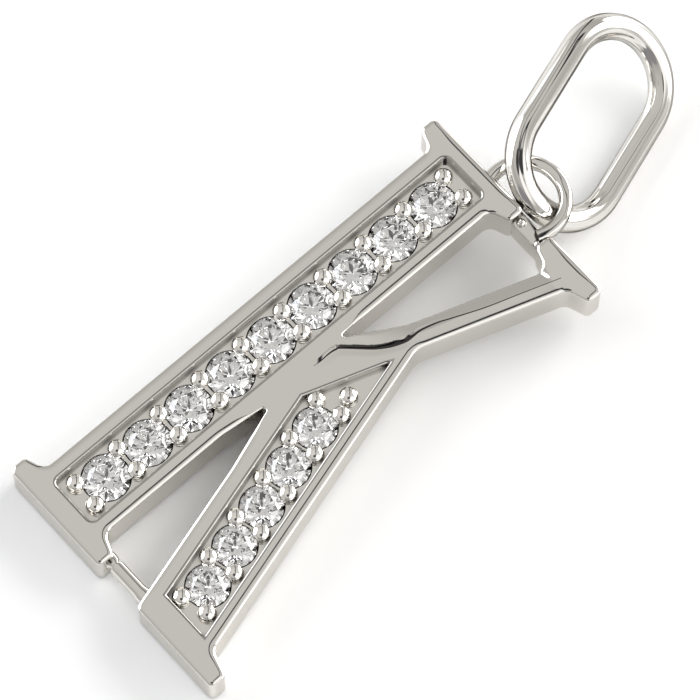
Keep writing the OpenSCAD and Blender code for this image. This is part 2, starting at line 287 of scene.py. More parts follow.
def letter_corners():
    """The corners of the whole letter in plan, anticlockwise, each with its radius."""
    low = SERIF_ROOT
    high = CAP_HEIGHT - SERIF_ROOT
    top_tip = CAP_HEIGHT - SERIF_TIP
    return [
        (-STEM_REACH, 0, SERIF_CORNER),
        (STEM_REACH, 0, SERIF_CORNER),
        (STEM_REACH, SERIF_TIP, SERIF_CORNER),
        (STEM_HALF, low, SERIF_FILLET),
        (STEM_HALF, LOWER_BEND, BEND),
        (*LOWER_TIP, TIP_FILLET),
        (leg_x(LEG_BEND) - LEG_HALF, LEG_BEND, BEND),
        (leg_x(0) - LEG_HALF, 0, SERIF_CORNER),
        (LEG_SERIF_END, 0, SERIF_CORNER),
        (LEG_SERIF_END, SERIF_TIP, SERIF_CORNER),
        (leg_x(low) + LEG_HALF, low, SERIF_FILLET),
        (*CROOK, CROOK_FILLET),
        (arm_x(high) + ARM_HALF, high, SERIF_FILLET),
        (ARM_SERIF_END, top_tip, SERIF_CORNER),
        (ARM_SERIF_END, CAP_HEIGHT, SERIF_CORNER),
        (ARM_SERIF_START, CAP_HEIGHT, SERIF_CORNER),
        (ARM_SERIF_START, top_tip, SERIF_CORNER),
        (arm_x(high) - ARM_HALF, high, SERIF_FILLET),
        (arm_x(ARM_BEND) - ARM_HALF, ARM_BEND, BEND),
        (STEM_HALF, UPPER_TIP, TIP_FILLET),
        (STEM_HALF, high, SERIF_FILLET),
        (STEM_REACH, top_tip, SERIF_CORNER),
        (STEM_REACH, CAP_HEIGHT, SERIF_CORNER),
        (-STEM_REACH, CAP_HEIGHT, SERIF_CORNER),
        (-STEM_REACH, top_tip, SERIF_CORNER),
        (-STEM_HALF, high, SERIF_FILLET),
        (-STEM_HALF, low, SERIF_FILLET),
        (-STEM_REACH, SERIF_TIP, SERIF_CORNER),
    ]


def stem_y(i):
    return STEM_ROW_Y + (i - (STEM_COUNT + 1) / 2) * STEM_PITCH


def leg_along(i):
    return (i - (LEG_COUNT + 1) / 2) * LEG_PITCH


def on_leg(x, y):
    """A point given across and along the leg's row of stones, in the letter's plan."""
    turn = LEG_LEAN
    return (
        leg_x(LEG_ROW_Y) + LEG_TRAY_SHIFT + x * math.cos(turn) - y * math.sin(turn),
        LEG_ROW_Y + x * math.sin(turn) + y * math.cos(turn),
    )


def tray_side(low, high, half):
    """The right-hand side of a tray, from low to high, in short steps."""
    return [(half, y) for y in np.linspace(low, high, int((high - low) / TRAY_STEP))]


def stem_tray():
    low = STEM_TRAY_FOOT
    high = CAP_HEIGHT - STEM_TRAY_CAP
    half = STEM_TRAY_WIDTH / 2
    side = tray_side(low + TRAY_CORNER, high - TRAY_CORNER, half)
    corners = rounded([
        (-half, low, TRAY_CORNER), (half, low, TRAY_CORNER),
        (half, high, TRAY_CORNER), (-half, high, TRAY_CORNER),
    ], TRAY_FLATS)
    per = len(corners) // 4
    left = [(-x, y) for x, y in reversed(side)]
    return np.array(
        list(corners[:2 * per]) + side[1:-1] + list(corners[2 * per:]) + left[1:-1])


def clip(points, at, keep):
    """The part of an outline on the side of the line through at that keep points to."""
    at = np.array(at)
    keep = np.array(keep)
    out = []
    for p, q in zip(points, np.roll(points, -1, axis=0)):
        dp = (p - at) @ keep
        dq = (q - at) @ keep
        if dp >= 0:
            out.append(p)
        if dp * dq < 0:
            out.append(p + (q - p) * dp / (dp - dq))
    return np.array(out)


def leg_tray():
    """A long strip along the row, cut off above the foot and beside the arm."""
    side = tray_side(*LEG_STRIP, LEG_TRAY_WIDTH / 2)
    ring = side + [(-x, y) for x, y in reversed(side)]
    plan = np.array([on_leg(x, y) for x, y in ring])
    plan = clip(plan, (0, LEG_TRAY_FOOT), (0, 1))
    edge = ARM_HALF + ARM_TRAY_GAP
    return clip(plan, (arm_x(0) + edge, 0), (math.cos(ARM_LEAN), -math.sin(ARM_LEAN)))


def circle(centre, radius, count=SEAT_SIDES):
    turns = np.arange(count) * math.tau / count
    return np.array(centre) + radius * np.column_stack([np.cos(turns), np.sin(turns)])


# The least cosine of half a corner's turn that a miter still follows
MITER_LEAST = 0.5


def outward(loop):
    """Unit vectors that point out of an anticlockwise loop, and the miter length at each point."""
    edge = np.roll(loop, -1, axis=0) - loop
    length = np.linalg.norm(edge, axis=1, keepdims=True)
    edge = edge / np.maximum(length, 1e-12)
    normal = np.column_stack([edge[:, 1], -edge[:, 0]])
    mean = normal + np.roll(normal, 1, axis=0)
    mean /= np.linalg.norm(mean, axis=1, keepdims=True)
    miter = 1 / np.clip((mean * normal).sum(1), MITER_LEAST, 1)
    return mean, miter[:, None]


def inside(points, loop):
    """Whether each point lies in a loop, by counting crossings."""
    x, y = points[:, 0:1], points[:, 1:2]
    x0, y0 = loop[:, 0], loop[:, 1]
    x1, y1 = np.roll(x0, -1), np.roll(y0, -1)
    cross = (y0 > y) != (y1 > y)
    with np.errstate(divide="ignore", invalid="ignore"):
        at = (x1 - x0) * (y - y0) / (y1 - y0) + x0
    return (cross & (x < at)).sum(1) % 2 == 1


def smooth(t):
    t = np.clip(t, 0, 1)
    return t * t * (3 - 2 * t)


# The face of the letter: flat, with a roof of two slopes on the arm

ROOF_SLOPE = ARM_ROOF_DROP / (ARM_WIDTH / 2)
RIDGE_SOFTNESS = 0.012
RIDGE_FOOT = 12.4
ROOF_TOP = CAP_HEIGHT - SERIF_ROOT
# The right slope is nearly level, and both flatten altogether on their way down to the crook
RIGHT_SHARE = 0.28
FLATTEN = (10.1, 11.9)
# The crease that carries the arm's ridge on round the crook: column and row of the photo, read off it,
# then depth and the width of its painted dark shade
CREASE_IN_PHOTO = (
    (449, 318.5, 0.008, 0.043),
    (440, 321, 0.012, 0.05),
    (430, 325, 0.016, 0.06),
    (420, 330, 0.022, 0.07),
    (413, 335.5, 0.026, 0.085),
    (407, 339.5, 0.03, 0.11),
    (400, 342, 0.036, 0.14),
    (390, 345, 0.036, 0.14),
    (380, 347, 0.036, 0.11),
    (370, 348, 0.036, 0.075),
    (341, 347.5, 0.03, 0.06),
    (336, 349, 0.028, 0.055),
    (331.5, 351.5, 0.024, 0.05),
    (326.5, 355.5, 0.02, 0.04),
    (319.5, 362, 0.01, 0.02),
    (313.5, 366, 0.0, 0.01),
)
# Farther up it runs along the ridge itself: height up the letter, depth and the width of its painted dark
# shade
CREASE_ON_RIDGE = ((15.6, 0.0, 0.02), (14.3, 0.004, 0.028), (13.3, 0.006, 0.034))
CREASE = [(arm_x(y), y, depth, width) for y, depth, width in CREASE_ON_RIDGE]
CREASE += [(*from_photo(column, row), depth, width) for column, row, depth, width in CREASE_IN_PHOTO]
# How far the crease's upper side and its lower side reach from its bottom
CREASE_UPPER = 0.11
CREASE_LOWER = 0.3
TOP_BLEND = 0.18
# Points inside the face: lines along the ridge, a coarse grid beside them and a fine one at the crease
RIDGE_SHIFTS = (-0.06, -0.035, 0, 0.035, 0.06)
RIDGE_POINTS = 50
RIDGE_CLEAR = 0.08
COARSE_STEP = 0.06
COARSE_HALF = 1.0
COARSE_FOOT = 9.15
COARSE_TOP = CAP_HEIGHT - 0.3
FINE_STEP = 0.025
FINE_ACROSS = (1.2, 3.4)
FINE_FOOT = 8.2
CREASE_ZONE = CREASE_LOWER * 1.2
CREASE_EDGE_CLEAR = 0.013
RIM_CLEAR = 0.02


def curve_through(points, per=12):
    """A smooth curve through a few points, of any number of columns."""
    points = np.array(points, float)
    padded = np.vstack([2 * points[0] - points[1], points, 2 * points[-1] - points[-2]])
    out = []
    for a, b, c, d in zip(padded, padded[1:], padded[2:], padded[3:]):
        for t in np.arange(per) / per:
            linear = t * (c - a) / 2
            square = t**2 * (a - 2.5 * b + 2 * c - d / 2)
            cube = t**3 * (1.5 * b - a / 2 - 1.5 * c + d / 2)
            out.append(b + linear + square + cube)
    return np.array(out + [points[-1]])


CREASE_LINE = curve_through(CREASE)


def beside_crease(x, y):
    """Distance to the crease, which side of it a place lies on, and the crease's depth and the width of its
    painted shade there.
    """
    start, step = CREASE_LINE[:-1], np.diff(CREASE_LINE, axis=0)
    dx = np.subtract.outer(x, start[:, 0])
    dy = np.subtract.outer(y, start[:, 1])
    along = (dx * step[:, 0] + dy * step[:, 1]) / (step[:, 0]**2 + step[:, 1]**2)
    along = np.clip(along, 0, 1)
    apart = np.hypot(dx - along * step[:, 0], dy - along * step[:, 1])
    nearest = apart.argmin(axis=-1)[..., None]
    along = np.take_along_axis(along, nearest, -1)[..., 0]
    dx, dy = (np.take_along_axis(d, nearest, -1)[..., 0] for d in (dx, dy))
    start, step = start[nearest[..., 0]], step[nearest[..., 0]]
    side = dx * step[..., 1] - dy * step[..., 0]
    depth, width = (start[..., k] + along * step[..., k] for k in (2, 3))
    return apart.min(axis=-1), side, depth, width


def in_crease_shade(x, y):
    """Whether a place lies in the crease's bottom, where shade is painted dark."""
    distance, _, _, width = beside_crease(x, y)
    return distance < width / 2


def crease_depth(x, y):
    distance, side, depth, _ = beside_crease(x, y)
    upper = np.clip(1 - distance / CREASE_UPPER, 0, 1)
    lower = smooth(1 - distance / CREASE_LOWER)
    return depth * np.where(side > 0, upper, lower)


def face_z(x, y):
    across = (x - arm_x(y)) * math.cos(ARM_LEAN)
    soft = np.sqrt(across**2 + RIDGE_SOFTNESS**2) - RIDGE_SOFTNESS
    left = np.where(across < 0, soft, 0)
    right = RIGHT_SHARE * np.where(across >= 0, soft, 0)
    fade = smooth((y - FLATTEN[0]) / (FLATTEN[1] - FLATTEN[0])) * smooth((ROOF_TOP - y) / TOP_BLEND)
    roof = np.where(np.abs(across) < ARM_WIDTH, ROOF_SLOPE * (left + right), 0) * fade
    return THICKNESS - roof - crease_depth(x, y)


def face_slope(x, y, step=0.002):
    dx = (face_z(x + step, y) - face_z(x - step, y)) / (2 * step)
    dy = (face_z(x, y + step) - face_z(x, y - step)) / (2 * step)
    return dx, dy


# Meshes

# Marks of the letter's faces, in the order of its materials
METAL_MARK = 0
# The seats take a lighter copy of the metal: painted light
SEAT_MARK = 1
# The crease's bottom takes nearly black metal: painted shade
CREASE_SHADE_MARK = 2
# The trays' rims and walls take a darker copy of the metal: painted shade
WALL_MARK = 3
# How far inside an edge the face's slope is read, and the steepest slope that an edge follows
LOOK_IN = 0.1
STEEPEST = 0.6


class Shell:
    """Vertices with a normal each, and faces, in millimetres.

    They are in the letter's own frame, except for the bail's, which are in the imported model's."""

    def __init__(self):
        self.points = []
        self.normals = []
        self.faces = []
        self.marks = []
        self.mark = METAL_MARK
        self.count = 0

    def add(self, points, normals, faces):
        points = np.asarray(points, float)
        self.points.append(points)
        self.normals.append(np.broadcast_to(np.asarray(normals, float), points.shape))
        self.faces += [tuple(int(i) + self.count for i in face) for face in faces]
        self.marks += [self.mark] * len(faces)
        self.count += len(points)

    def strip(self, rows, normals):
        """Quads between closed rows of equally many points. The outside is on the left of each row's run."""
        rows = np.asarray(rows, float)
        height, width = rows.shape[:2]
        faces = []
        for j in range(height - 1):
            for i in range(width):
                k = (i + 1) % width
                faces.append((j * width + i, j * width + k, (j + 1) * width + k, (j + 1) * width + i))
        self.add(rows.reshape(-1, 3), np.asarray(normals, float).reshape(-1, 3), faces)


def leaned(vectors):
    """Directions or places of the letter's own frame, turned as the letter leans."""
    c, s = math.cos(LIE_TILT), math.sin(LIE_TILT)
    x, y, z = np.asarray(vectors, float).T
    return np.column_stack([x, y * c - z * s, y * s + z * c])


def lay(points):
    """From the letter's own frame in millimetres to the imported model's frame in metres."""
    return (leaned(points) - (ORIGIN_X, ORIGIN_Y, 0)) * MM


def add_piece(name, mesh):
    """A visible piece of the pendant, on the pendant's one body."""
    obj = bpy.data.objects.new(name, mesh)
    bpy.context.scene.collection.objects.link(obj)
    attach(obj, "root")
    return obj


def piece_from(name, shell, *materials, placed=False):
    """A piece of the pendant from a shell, with the shell's own normals and a material for each mark.

    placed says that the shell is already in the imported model's frame."""
    points = np.concatenate(shell.points)
    normals = np.concatenate(shell.normals)
    if placed:
        points = points * MM
    else:
        points = lay(points)
        normals = leaned(normals)
    mesh = bpy.data.meshes.new(name)
    mesh.from_pydata(points.tolist(), [], shell.faces)
    mesh.update()
    for face in mesh.polygons:
        face.use_smooth = True
    lengths = np.linalg.norm(normals, axis=1, keepdims=True)
    mesh.normals_split_custom_set_from_vertices((normals / lengths).tolist())
    for material in materials:
        mesh.materials.append(material)
    mesh.polygons.foreach_set("material_index", shell.marks)
    return add_piece(name, mesh)


def fill(shell, outer, holes, height, normal, extra=(), lines=(), flip=False, shade_mask=None):
    """A level or gently sloping face between an outer loop and holes.

    extra gives points inside it and lines gives runs of edges that it keeps. Where the mask of painted
    shade says so, its triangles get the crease's material, nearly black metal that stands in for shade."""
    coords = [Vector(p) for p in outer]
    edges = [(i, (i + 1) % len(outer)) for i in range(len(outer))]
    for hole in holes:
        first = len(coords)
        coords += [Vector(p) for p in hole]
        edges += [(first + i, first + (i + 1) % len(hole)) for i in range(len(hole))]
    for line in lines:
        first = len(coords)
        coords += [Vector(p) for p in line]
        edges += [(first + i, first + i + 1) for i in range(len(line) - 1)]
    coords += [Vector(p) for p in extra]
    flat, _, faces, _, _, _ = delaunay_2d_cdt(coords, edges, [], 0, 1e-6)
    flat = np.array([tuple(p) for p in flat])
    faces = np.array([tuple(f) for f in faces])
    middles = flat[faces].mean(axis=1)
    keep = inside(middles, outer)
    for hole in holes:
        keep &= ~inside(middles, hole)
    faces = faces[keep]
    used, index = np.unique(faces, return_inverse=True)
    faces = index.reshape(-1, 3)
    flat = flat[used]
    z = height(flat[:, 0], flat[:, 1])
    points = np.column_stack([flat, z])
    a, b, c = (flat[faces[:, k]] for k in range(3))
    area = (b[:, 0] - a[:, 0]) * (c[:, 1] - a[:, 1]) - (b[:, 1] - a[:, 1]) * (c[:, 0] - a[:, 0])
    turned = (area < 0) != flip
    faces[turned] = faces[turned][:, ::-1]
    normals = normal(flat[:, 0], flat[:, 1])
    if shade_mask is None:
        shell.add(points, normals, faces)
        return
    middles = flat[faces].mean(axis=1)
    # The crease's dark bottom is painted shade: these triangles get the nearly black metal
    dark = shade_mask(middles[:, 0], middles[:, 1])
    shell.add(points, normals, faces[~dark])
    before = shell.mark
    shell.mark = CREASE_SHADE_MARK
    shell.add(points, normals, faces[dark])
    shell.mark = before


def face_normals(x, y):
    dx, dy = face_slope(x, y)
    return np.column_stack([-dx, -dy, np.ones_like(dx)])


def level(z):
    return lambda x, y: np.full_like(x, z)


def straight(z):
    return lambda x, y: np.column_stack([np.zeros_like(x), np.zeros_like(x), np.full_like(x, z)])


def edge_profile(turn, wide, deep):
    """Run and rise of an elliptic edge where its normal leans out by turn."""
    run, rise = wide**2 * np.sin(turn), deep**2 * np.cos(turn)
    size = np.sqrt(wide**2 * np.sin(turn)**2 + deep**2 * np.cos(turn)**2)
    return run / size, rise / size


def edge_rows(loop, sign, rounding, surface, slope):
    """Rows of points and normals that round the edge between the face and a wall.

    sign is 1 where the wall is outside the loop and -1 where the loop is a hole."""
    wide, deep = rounding
    wide = np.broadcast_to(wide, len(loop))
    out, miter = outward(loop)
    out = out * sign
    near = loop - out * LOOK_IN
    dx, dy = slope(near[:, 0], near[:, 1])
    fall = np.arctan(-(dx * out[:, 0] + dy * out[:, 1]))
    start = np.clip(fall, -STEEPEST, STEEPEST)
    run, rise = edge_profile(start, wide, deep)
    inner = loop - out * miter * (wide - run)[:, None]
    centre_z = surface(inner[:, 0], inner[:, 1]) - rise
    rows, normals = [], []
    for k in range(ROUND_STEPS + 1):
        turn = start + (math.pi / 2 - start) * k / ROUND_STEPS
        run, rise = edge_profile(turn, wide, deep)
        flat = loop - out * miter * (wide - run)[:, None]
        rows.append(np.column_stack([flat, centre_z + rise]))
        normals.append(np.column_stack([out * np.sin(turn)[:, None], np.cos(turn)]))
    return np.array(rows), np.array(normals), inner


def back_rows(loop, radius):
    """Rows that round the edge between a wall and the back."""
    out, miter = outward(loop)
    rows, normals = [], []
    for k in range(BACK_STEPS + 1):
        turn = math.pi / 2 * k / BACK_STEPS
        flat = loop - out * miter * radius * (1 - math.cos(turn))
        rows.append(np.column_stack([flat, np.full(len(loop), radius * (1 - math.sin(turn)))]))
        normals.append(np.column_stack([out * math.cos(turn), np.full(len(loop), -math.sin(turn))]))
    return np.array(rows), np.array(normals)


def flat_slope(x, y):
    return np.zeros_like(x), np.zeros_like(x)


def dense(loop, step=0.12):
    """The same loop with its long stretches divided."""
    out = []
    for p, q in zip(loop, np.roll(loop, -1, axis=0)):
        parts = max(1, int(np.linalg.norm(q - p) / step))
        out += [p + (q - p) * k / parts for k in range(parts)]
    return np.array(out)


def stone_places():
    """Centre and diameter of each stone in the letter's plan."""
    stem = [((0.0, stem_y(i)), STEM_STONE) for i in range(1, STEM_COUNT + 1)]
    leg = [(on_leg(0, leg_along(i)), LEG_STONE) for i in range(1, LEG_COUNT + 1)]
    return stem, leg


def tip_of(corners, i):
    """Where a corner's rounding comes nearest to the corner itself."""
    corner, _, _, middle, half = corner_frame(corners, i)
    return corner + middle * corners[i][2] * (1 / math.sin(half) - 1)


def edge_width(loop):
    """The width of the rounded edge at each point of the letter's outline."""
    corners = letter_corners()
    full = FACE_ROUND[0]
    widths = []
    for radii, narrow, (near, far) in (
        ((SERIF_CORNER,), TIP_ROUND, TIP_REACH),
        ((TIP_FILLET,), APEX_ROUND, APEX_REACH),
    ):
        spots = np.array([tip_of(corners, i) for i, corner in enumerate(corners) if corner[2] in radii])
        away = np.linalg.norm(loop[:, None] - spots[None], axis=2).min(axis=1)
        widths.append(narrow + (full - narrow) * smooth((away - near) / (far - near)))
    return np.minimum(*widths)


def outer_wall(shell, outline):
    """The rounded edge at the face, the outer wall and the rounded edge at the back.

    Returns the loops that the face and the back fill."""
    rounding = (edge_width(outline), FACE_ROUND[1])
    rows, normals, face_loop = edge_rows(outline, 1, rounding, face_z, face_slope)
    shell.strip(rows[::-1].copy(), normals[::-1])
    low_rows, low_normals = back_rows(outline, BACK_ROUND)
    out, _ = outward(outline)
    side = np.column_stack([out, np.zeros(len(out))])
    shell.strip([low_rows[0], rows[-1]], [side, side])
    shell.strip(low_rows[::-1].copy(), low_normals[::-1])
    return face_loop, low_rows[-1][:, :2]


def tray_wall(shell, tray, floor_z):
    """The rounded rim and the wall of a tray. Returns the hole that it leaves in the face."""
    rows, normals, rim = edge_rows(tray, -1, TRAY_ROUND, face_z, flat_slope)
    shell.strip(rows, normals)
    inward, _ = outward(tray)
    side = np.column_stack([-inward, np.zeros(len(tray))])
    foot = np.column_stack([tray, np.full(len(tray), floor_z)])
    shell.strip([rows[-1], foot], [side, side])
    return rim


def face_lines():
    """Runs of points along the arm's ridge and along both sides of the crease's bottom, where shade is painted
    dark.
    """
    heights = np.linspace(RIDGE_FOOT, ROOF_TOP, RIDGE_POINTS)
    lines = [
        [(arm_x(y) + shift / math.cos(ARM_LEAN), y) for y in heights]
        for shift in RIDGE_SHIFTS
    ]
    ahead = np.gradient(CREASE_LINE[:, :2], axis=0)
    ahead /= np.linalg.norm(ahead, axis=1, keepdims=True)
    aside = np.column_stack([ahead[:, 1], -ahead[:, 0]]) * CREASE_LINE[:, 3:] / 2
    return lines + [(CREASE_LINE[:, :2] + aside * side).tolist() for side in (-1, 1)]


def from_crease(points):
    """Distance from each point to the nearest point of the crease's curve."""
    return np.linalg.norm(points[:, None] - CREASE_LINE[None, :, :2], axis=2).min(axis=1)


def face_points(face_loop, holes):
    """Points inside the face: a coarse grid along the arm and a fine one round the crease."""
    coarse = np.array([
        (x, y)
        for y in np.arange(COARSE_FOOT, COARSE_TOP, COARSE_STEP)
        for x in np.arange(arm_x(y) - COARSE_HALF, arm_x(y) + COARSE_HALF, COARSE_STEP)
        if abs((x - arm_x(y)) * math.cos(ARM_LEAN)) > RIDGE_CLEAR or y < RIDGE_FOOT
    ])
    coarse = coarse[(from_crease(coarse) >= CREASE_ZONE) | (coarse[:, 1] > RIDGE_FOOT)]
    fine = np.array([
        (x, y)
        for y in np.arange(FINE_FOOT, RIDGE_FOOT, FINE_STEP)
        for x in np.arange(*FINE_ACROSS, FINE_STEP)
    ])
    distance, _, _, width = beside_crease(fine[:, 0], fine[:, 1])
    clear = np.abs(distance - width / 2) >= CREASE_EDGE_CLEAR
    fine = fine[clear & (from_crease(fine) < CREASE_ZONE)]
    points = np.vstack([coarse, fine])
    points = points[inside(points, face_loop - outward(face_loop)[0] * RIM_CLEAR)]
    for hole in holes:
        points = points[~inside(points, hole + outward(hole)[0] * RIM_CLEAR)]
    return points


def letter_body(shell):
    floor_z = THICKNESS - TRAY_DEPTH
    trays = [dense(stem_tray()), dense(leg_tray())]
    face_loop, back_loop = outer_wall(shell, dense(rounded(letter_corners())))
    # Painted shade: the trays' rims and walls get the darker copy of the metal
    shell.mark = WALL_MARK
    holes = [tray_wall(shell, tray, floor_z) for tray in trays]
    shell.mark = METAL_MARK
    points = face_points(face_loop, holes)
    fill(shell, face_loop, holes, face_z, face_normals, points, face_lines(), shade_mask=in_crease_shade)

    stem, leg = stone_places()
    for tray, row in zip(trays, (stem, leg)):
        seats = [circle(place, size / 2 + SEAT_GAP) for place, size in row]
        fill(shell, tray, seats, level(floor_z), straight(1))
    drilled = [circle(place, BACK_HOLE) for place, _ in stem + leg]
    fill(shell, back_loop, drilled, level(0.0), straight(-1), flip=True)
    shell.mark = SEAT_MARK
    for place, size in stem + leg:
        seat(shell, place, size, floor_z)


def ring_rows(centre, profile, count=SEAT_SIDES):
    """Rows of a turned shape about the vertical through centre, from (radius, height) pairs."""
    turns = np.arange(count) * math.tau / count
    return np.array([
        np.column_stack([
            centre[0] + r * np.cos(turns), centre[1] + r * np.sin(turns), np.full(count, float(z))])
        for r, z in profile
    ])


def ring_normals(slopes, count=SEAT_SIDES):
    """Rows of normals to match, from (outward, upward) pairs."""
    turns = np.arange(count) * math.tau / count
    return np.array([
        np.column_stack([out * np.cos(turns), out * np.sin(turns), np.full(count, float(up))])
        for out, up in slopes
    ])


def seat(shell, centre, size, floor_z):
    """The girdle's short wall, the cone under it and the drilled hole, seen from inside."""
    top = size / 2 + SEAT_GAP
    step = floor_z - GIRDLE_SHARE * size / 2
    deep = step - (top - BACK_HOLE) * math.tan(PAVILION)
    shell.strip(ring_rows(centre, [(top, floor_z), (top, step)]), ring_normals([(-1, 0)] * 2))
    lean = (-math.sin(PAVILION), math.cos(PAVILION))
    shell.strip(ring_rows(centre, [(top, step), (BACK_HOLE, deep)]), ring_normals([lean] * 2))
    shell.strip(ring_rows(centre, [(BACK_HOLE, deep), (BACK_HOLE, 0)]), ring_normals([(-1, 0)] * 2))


def turned(shell, centre, profile, count=28):
    """A closed turned shape from (radius, height) pairs, from its foot up to its top."""
    profile = np.array(profile, float)
    along = np.gradient(profile, axis=0)
    out = np.column_stack([along[:, 1], -along[:, 0]])
    out /= np.linalg.norm(out, axis=1, keepdims=True)
    shell.strip(ring_rows(centre, profile, count), ring_normals(out, count))


def bead(shell, centre, floor_z):
    """A bead prong: a post between the stones under a round head, level with the letter's face."""
    middle = THICKNESS - BEAD_SQUAT * BEAD_RADIUS
    neck = math.acos(BEAD_POST / BEAD_RADIUS)
    profile = [(BEAD_POST, floor_z - BEAD_FOOT)]
    for turn in np.linspace(-neck, math.pi / 2, BEAD_STEPS):
        squat = BEAD_SQUAT if turn > 0 else 1.0
        across = max(BEAD_RADIUS * math.cos(turn), BEAD_POLE)
        profile.append((across, middle + squat * BEAD_RADIUS * math.sin(turn)))
    turned(shell, centre, profile)


def beads(shell):
    floor_z = THICKNESS - TRAY_DEPTH
    for side in (-BEAD_ACROSS, BEAD_ACROSS):
        for i in range(STEM_COUNT + 1):
            bead(shell, (side, stem_y(i) + STEM_PITCH / 2), floor_z)
        for i in range(LEG_COUNT + 1):
            bead(shell, on_leg(side, leg_along(i) + LEG_PITCH / 2), floor_z)
    bead(shell, on_leg(TIP_BEAD[0], leg_along(LEG_COUNT) + TIP_BEAD[1]), floor_z)


# The cut of the stones, as shares of the girdle's radius
TABLE_SHARE = 0.56
LOWER_SHARE = 0.24
CROWN = math.radians(34.5)
FACETS = 8
# Each stone is turned on by this much from the one before
STONE_TURN = math.radians(137.5)


def brilliant(name, place, size, turn, material):
    """A round brilliant with 57 flat facets, turned about its own axis, in place of a node's stone."""
    r = size / 2
    belt = GIRDLE_SHARE * r
    step = math.tau / FACETS
    table = TABLE_SHARE * r
    star = (table * math.cos(step / 2) + r) / 2
    low = LOWER_SHARE * r
    base = THICKNESS - TRAY_DEPTH

    def ring(radius, height, count, shift=0.0):
        return [
            (radius * math.cos(turn + (k + shift) * math.tau / count),
             radius * math.sin(turn + (k + shift) * math.tau / count), height)
            for k in range(count)
        ]

    n = FACETS
    points = ring(table, (r - table) * math.tan(CROWN), n)
    points += ring(star, (r - star * math.cos(step / 2)) * math.tan(CROWN), n, 0.5)
    points += ring(r, 0, 2 * n)
    points += ring(r, -belt, 2 * n)
    points += ring(low, -belt - (r - low * math.cos(step / 2)) * math.tan(PAVILION), n, 0.5)
    points.append((0, 0, -belt - r * math.tan(PAVILION)))
    faces = [tuple(range(n))]
    upper, lower, deep, culet = 2 * n, 4 * n, 6 * n, 7 * n
    for i in range(n):
        after, before = (i + 1) % n, (i - 1) % n
        kite = upper + 2 * i
        end = upper + (2 * i + 2) % (2 * n)
        faces += [
            (i, n + i, after),
            (i, n + before, kite, n + i),
            (n + i, kite, kite + 1),
            (n + i, kite + 1, end),
            (lower + 2 * i, deep + i, lower + 2 * i + 1),
            (lower + 2 * i + 1, deep + i, lower + (2 * i + 2) % (2 * n)),
            (lower + 2 * i, deep + before, culet, deep + i),
        ]
    for i in range(2 * n):
        j = (i + 1) % (2 * n)
        faces.append((upper + i, lower + i, lower + j, upper + j))
    points = lay(np.array(points) + (place[0], place[1], base))
    mesh = bpy.data.meshes.new(name)
    mesh.from_pydata(points.tolist(), [], faces)
    mesh.materials.append(material)
    return add_piece(name, mesh)


def stones(material):
    for row, places in zip(("stem", "leg"), stone_places()):
        for i, (place, size) in enumerate(places, 1):
            piece = brilliant(f"{row}_brilliant_{i}", place, size, i * STONE_TURN, material)
            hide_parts(f"{row}_stone_{i}")


def drawn_lines(turns, along, waves):
    """Height and slope, as shares of the radius, of the fine lines that drawing leaves along a wire."""
    height = np.zeros(len(turns))
    slope = np.zeros(len(turns))
    for count, lean, drift in waves:
        wander = math.sin(math.tau * along * LINE_WANDERS + count)
        swell = math.sin(math.tau * along * LINE_SWELLS + 2 * count)
        phase = count * turns + drift * wander + count**2
        strength = math.radians(lean) * (1 - LINE_SWELL + LINE_SWELL * swell)
        height += strength / count * (np.cos(phase) - 1)
        slope -= strength * np.sin(phase)
    return height, slope


# Below this, a path starts so steeply that its sideways direction is taken another way
NEARLY_UPRIGHT = 0.1


def powered(value, power):
    return np.sign(value) * np.abs(value)**power


def tube(shell, path, radii, square, count=32, closed=False, caps=False, waves=()):
    """A tube along a path of points, with a radius at each, round or nearer to a square.

    closed joins its ends, caps covers them, and waves are its drawn lines."""
    path = np.asarray(path, float)
    ahead = np.gradient(path, axis=0)
    if closed:
        ahead = np.roll(path, -1, axis=0) - np.roll(path, 1, axis=0)
    ahead /= np.linalg.norm(ahead, axis=1, keepdims=True)
    turns = np.arange(count) * math.tau / count
    across, rise = powered(np.cos(turns), square), powered(np.sin(turns), square)
    lean, climb = powered(np.cos(turns), 2 - square), powered(np.sin(turns), 2 - square)
    side = np.cross(ahead[0], (0.0, 0.0, 1.0))
    if np.linalg.norm(side) < NEARLY_UPRIGHT:
        side = np.cross(ahead[0], (0.0, 1.0, 0.0))
    rows, normals = [], []
    for i, (point, direction, radius) in enumerate(zip(path, ahead, radii)):
        side = side - direction * (side @ direction)
        side /= np.linalg.norm(side)
        up = np.cross(direction, side)
        height, slope = drawn_lines(turns, i / len(path), waves)
        ring = np.outer(across, side) + np.outer(rise, up)
        rows.append(point + ring * (radius * (1 + height))[:, None])
        normal = np.outer(lean, side) + np.outer(climb, up)
        normal /= np.linalg.norm(normal, axis=1, keepdims=True)
        normals.append(normal - np.cross(direction, normal) * slope[:, None])
    if closed:
        rows.append(rows[0])
        normals.append(normals[0])
    shell.strip(rows, normals)
    if caps:
        for row, sign in ((rows[0], -1), (rows[-1], 1)):
            middle = row.mean(axis=0)
            direction = ahead[0] if sign < 0 else ahead[-1]
            points = np.vstack([row, middle])
            faces = [
                (i, (i + 1) % count, count) if sign > 0 else ((i + 1) % count, i, count)
                for i in range(count)
            ]
            shell.add(points, direction * sign, faces)


def foot_bar(shell):
    start = STEM_REACH - LET_IN
    end = leg_x(BAR_Y) - LEG_HALF + LET_IN
    places = np.linspace(start, end, BAR_RINGS)
    at, wide, deep = BAR_GROOVE
    groove = deep * np.exp(-((places - STEM_REACH - at) / wide)**2)
    at, wide, high = BAR_FLARE
    flare = high * np.exp(-((places - end + LET_IN + at) / wide)**2)
    path = [(x, BAR_Y, BAR_Z) for x in places]
    tube(shell, path, BAR_RADIUS * (1 - groove + flare), WIRE_SQUARE, caps=True)


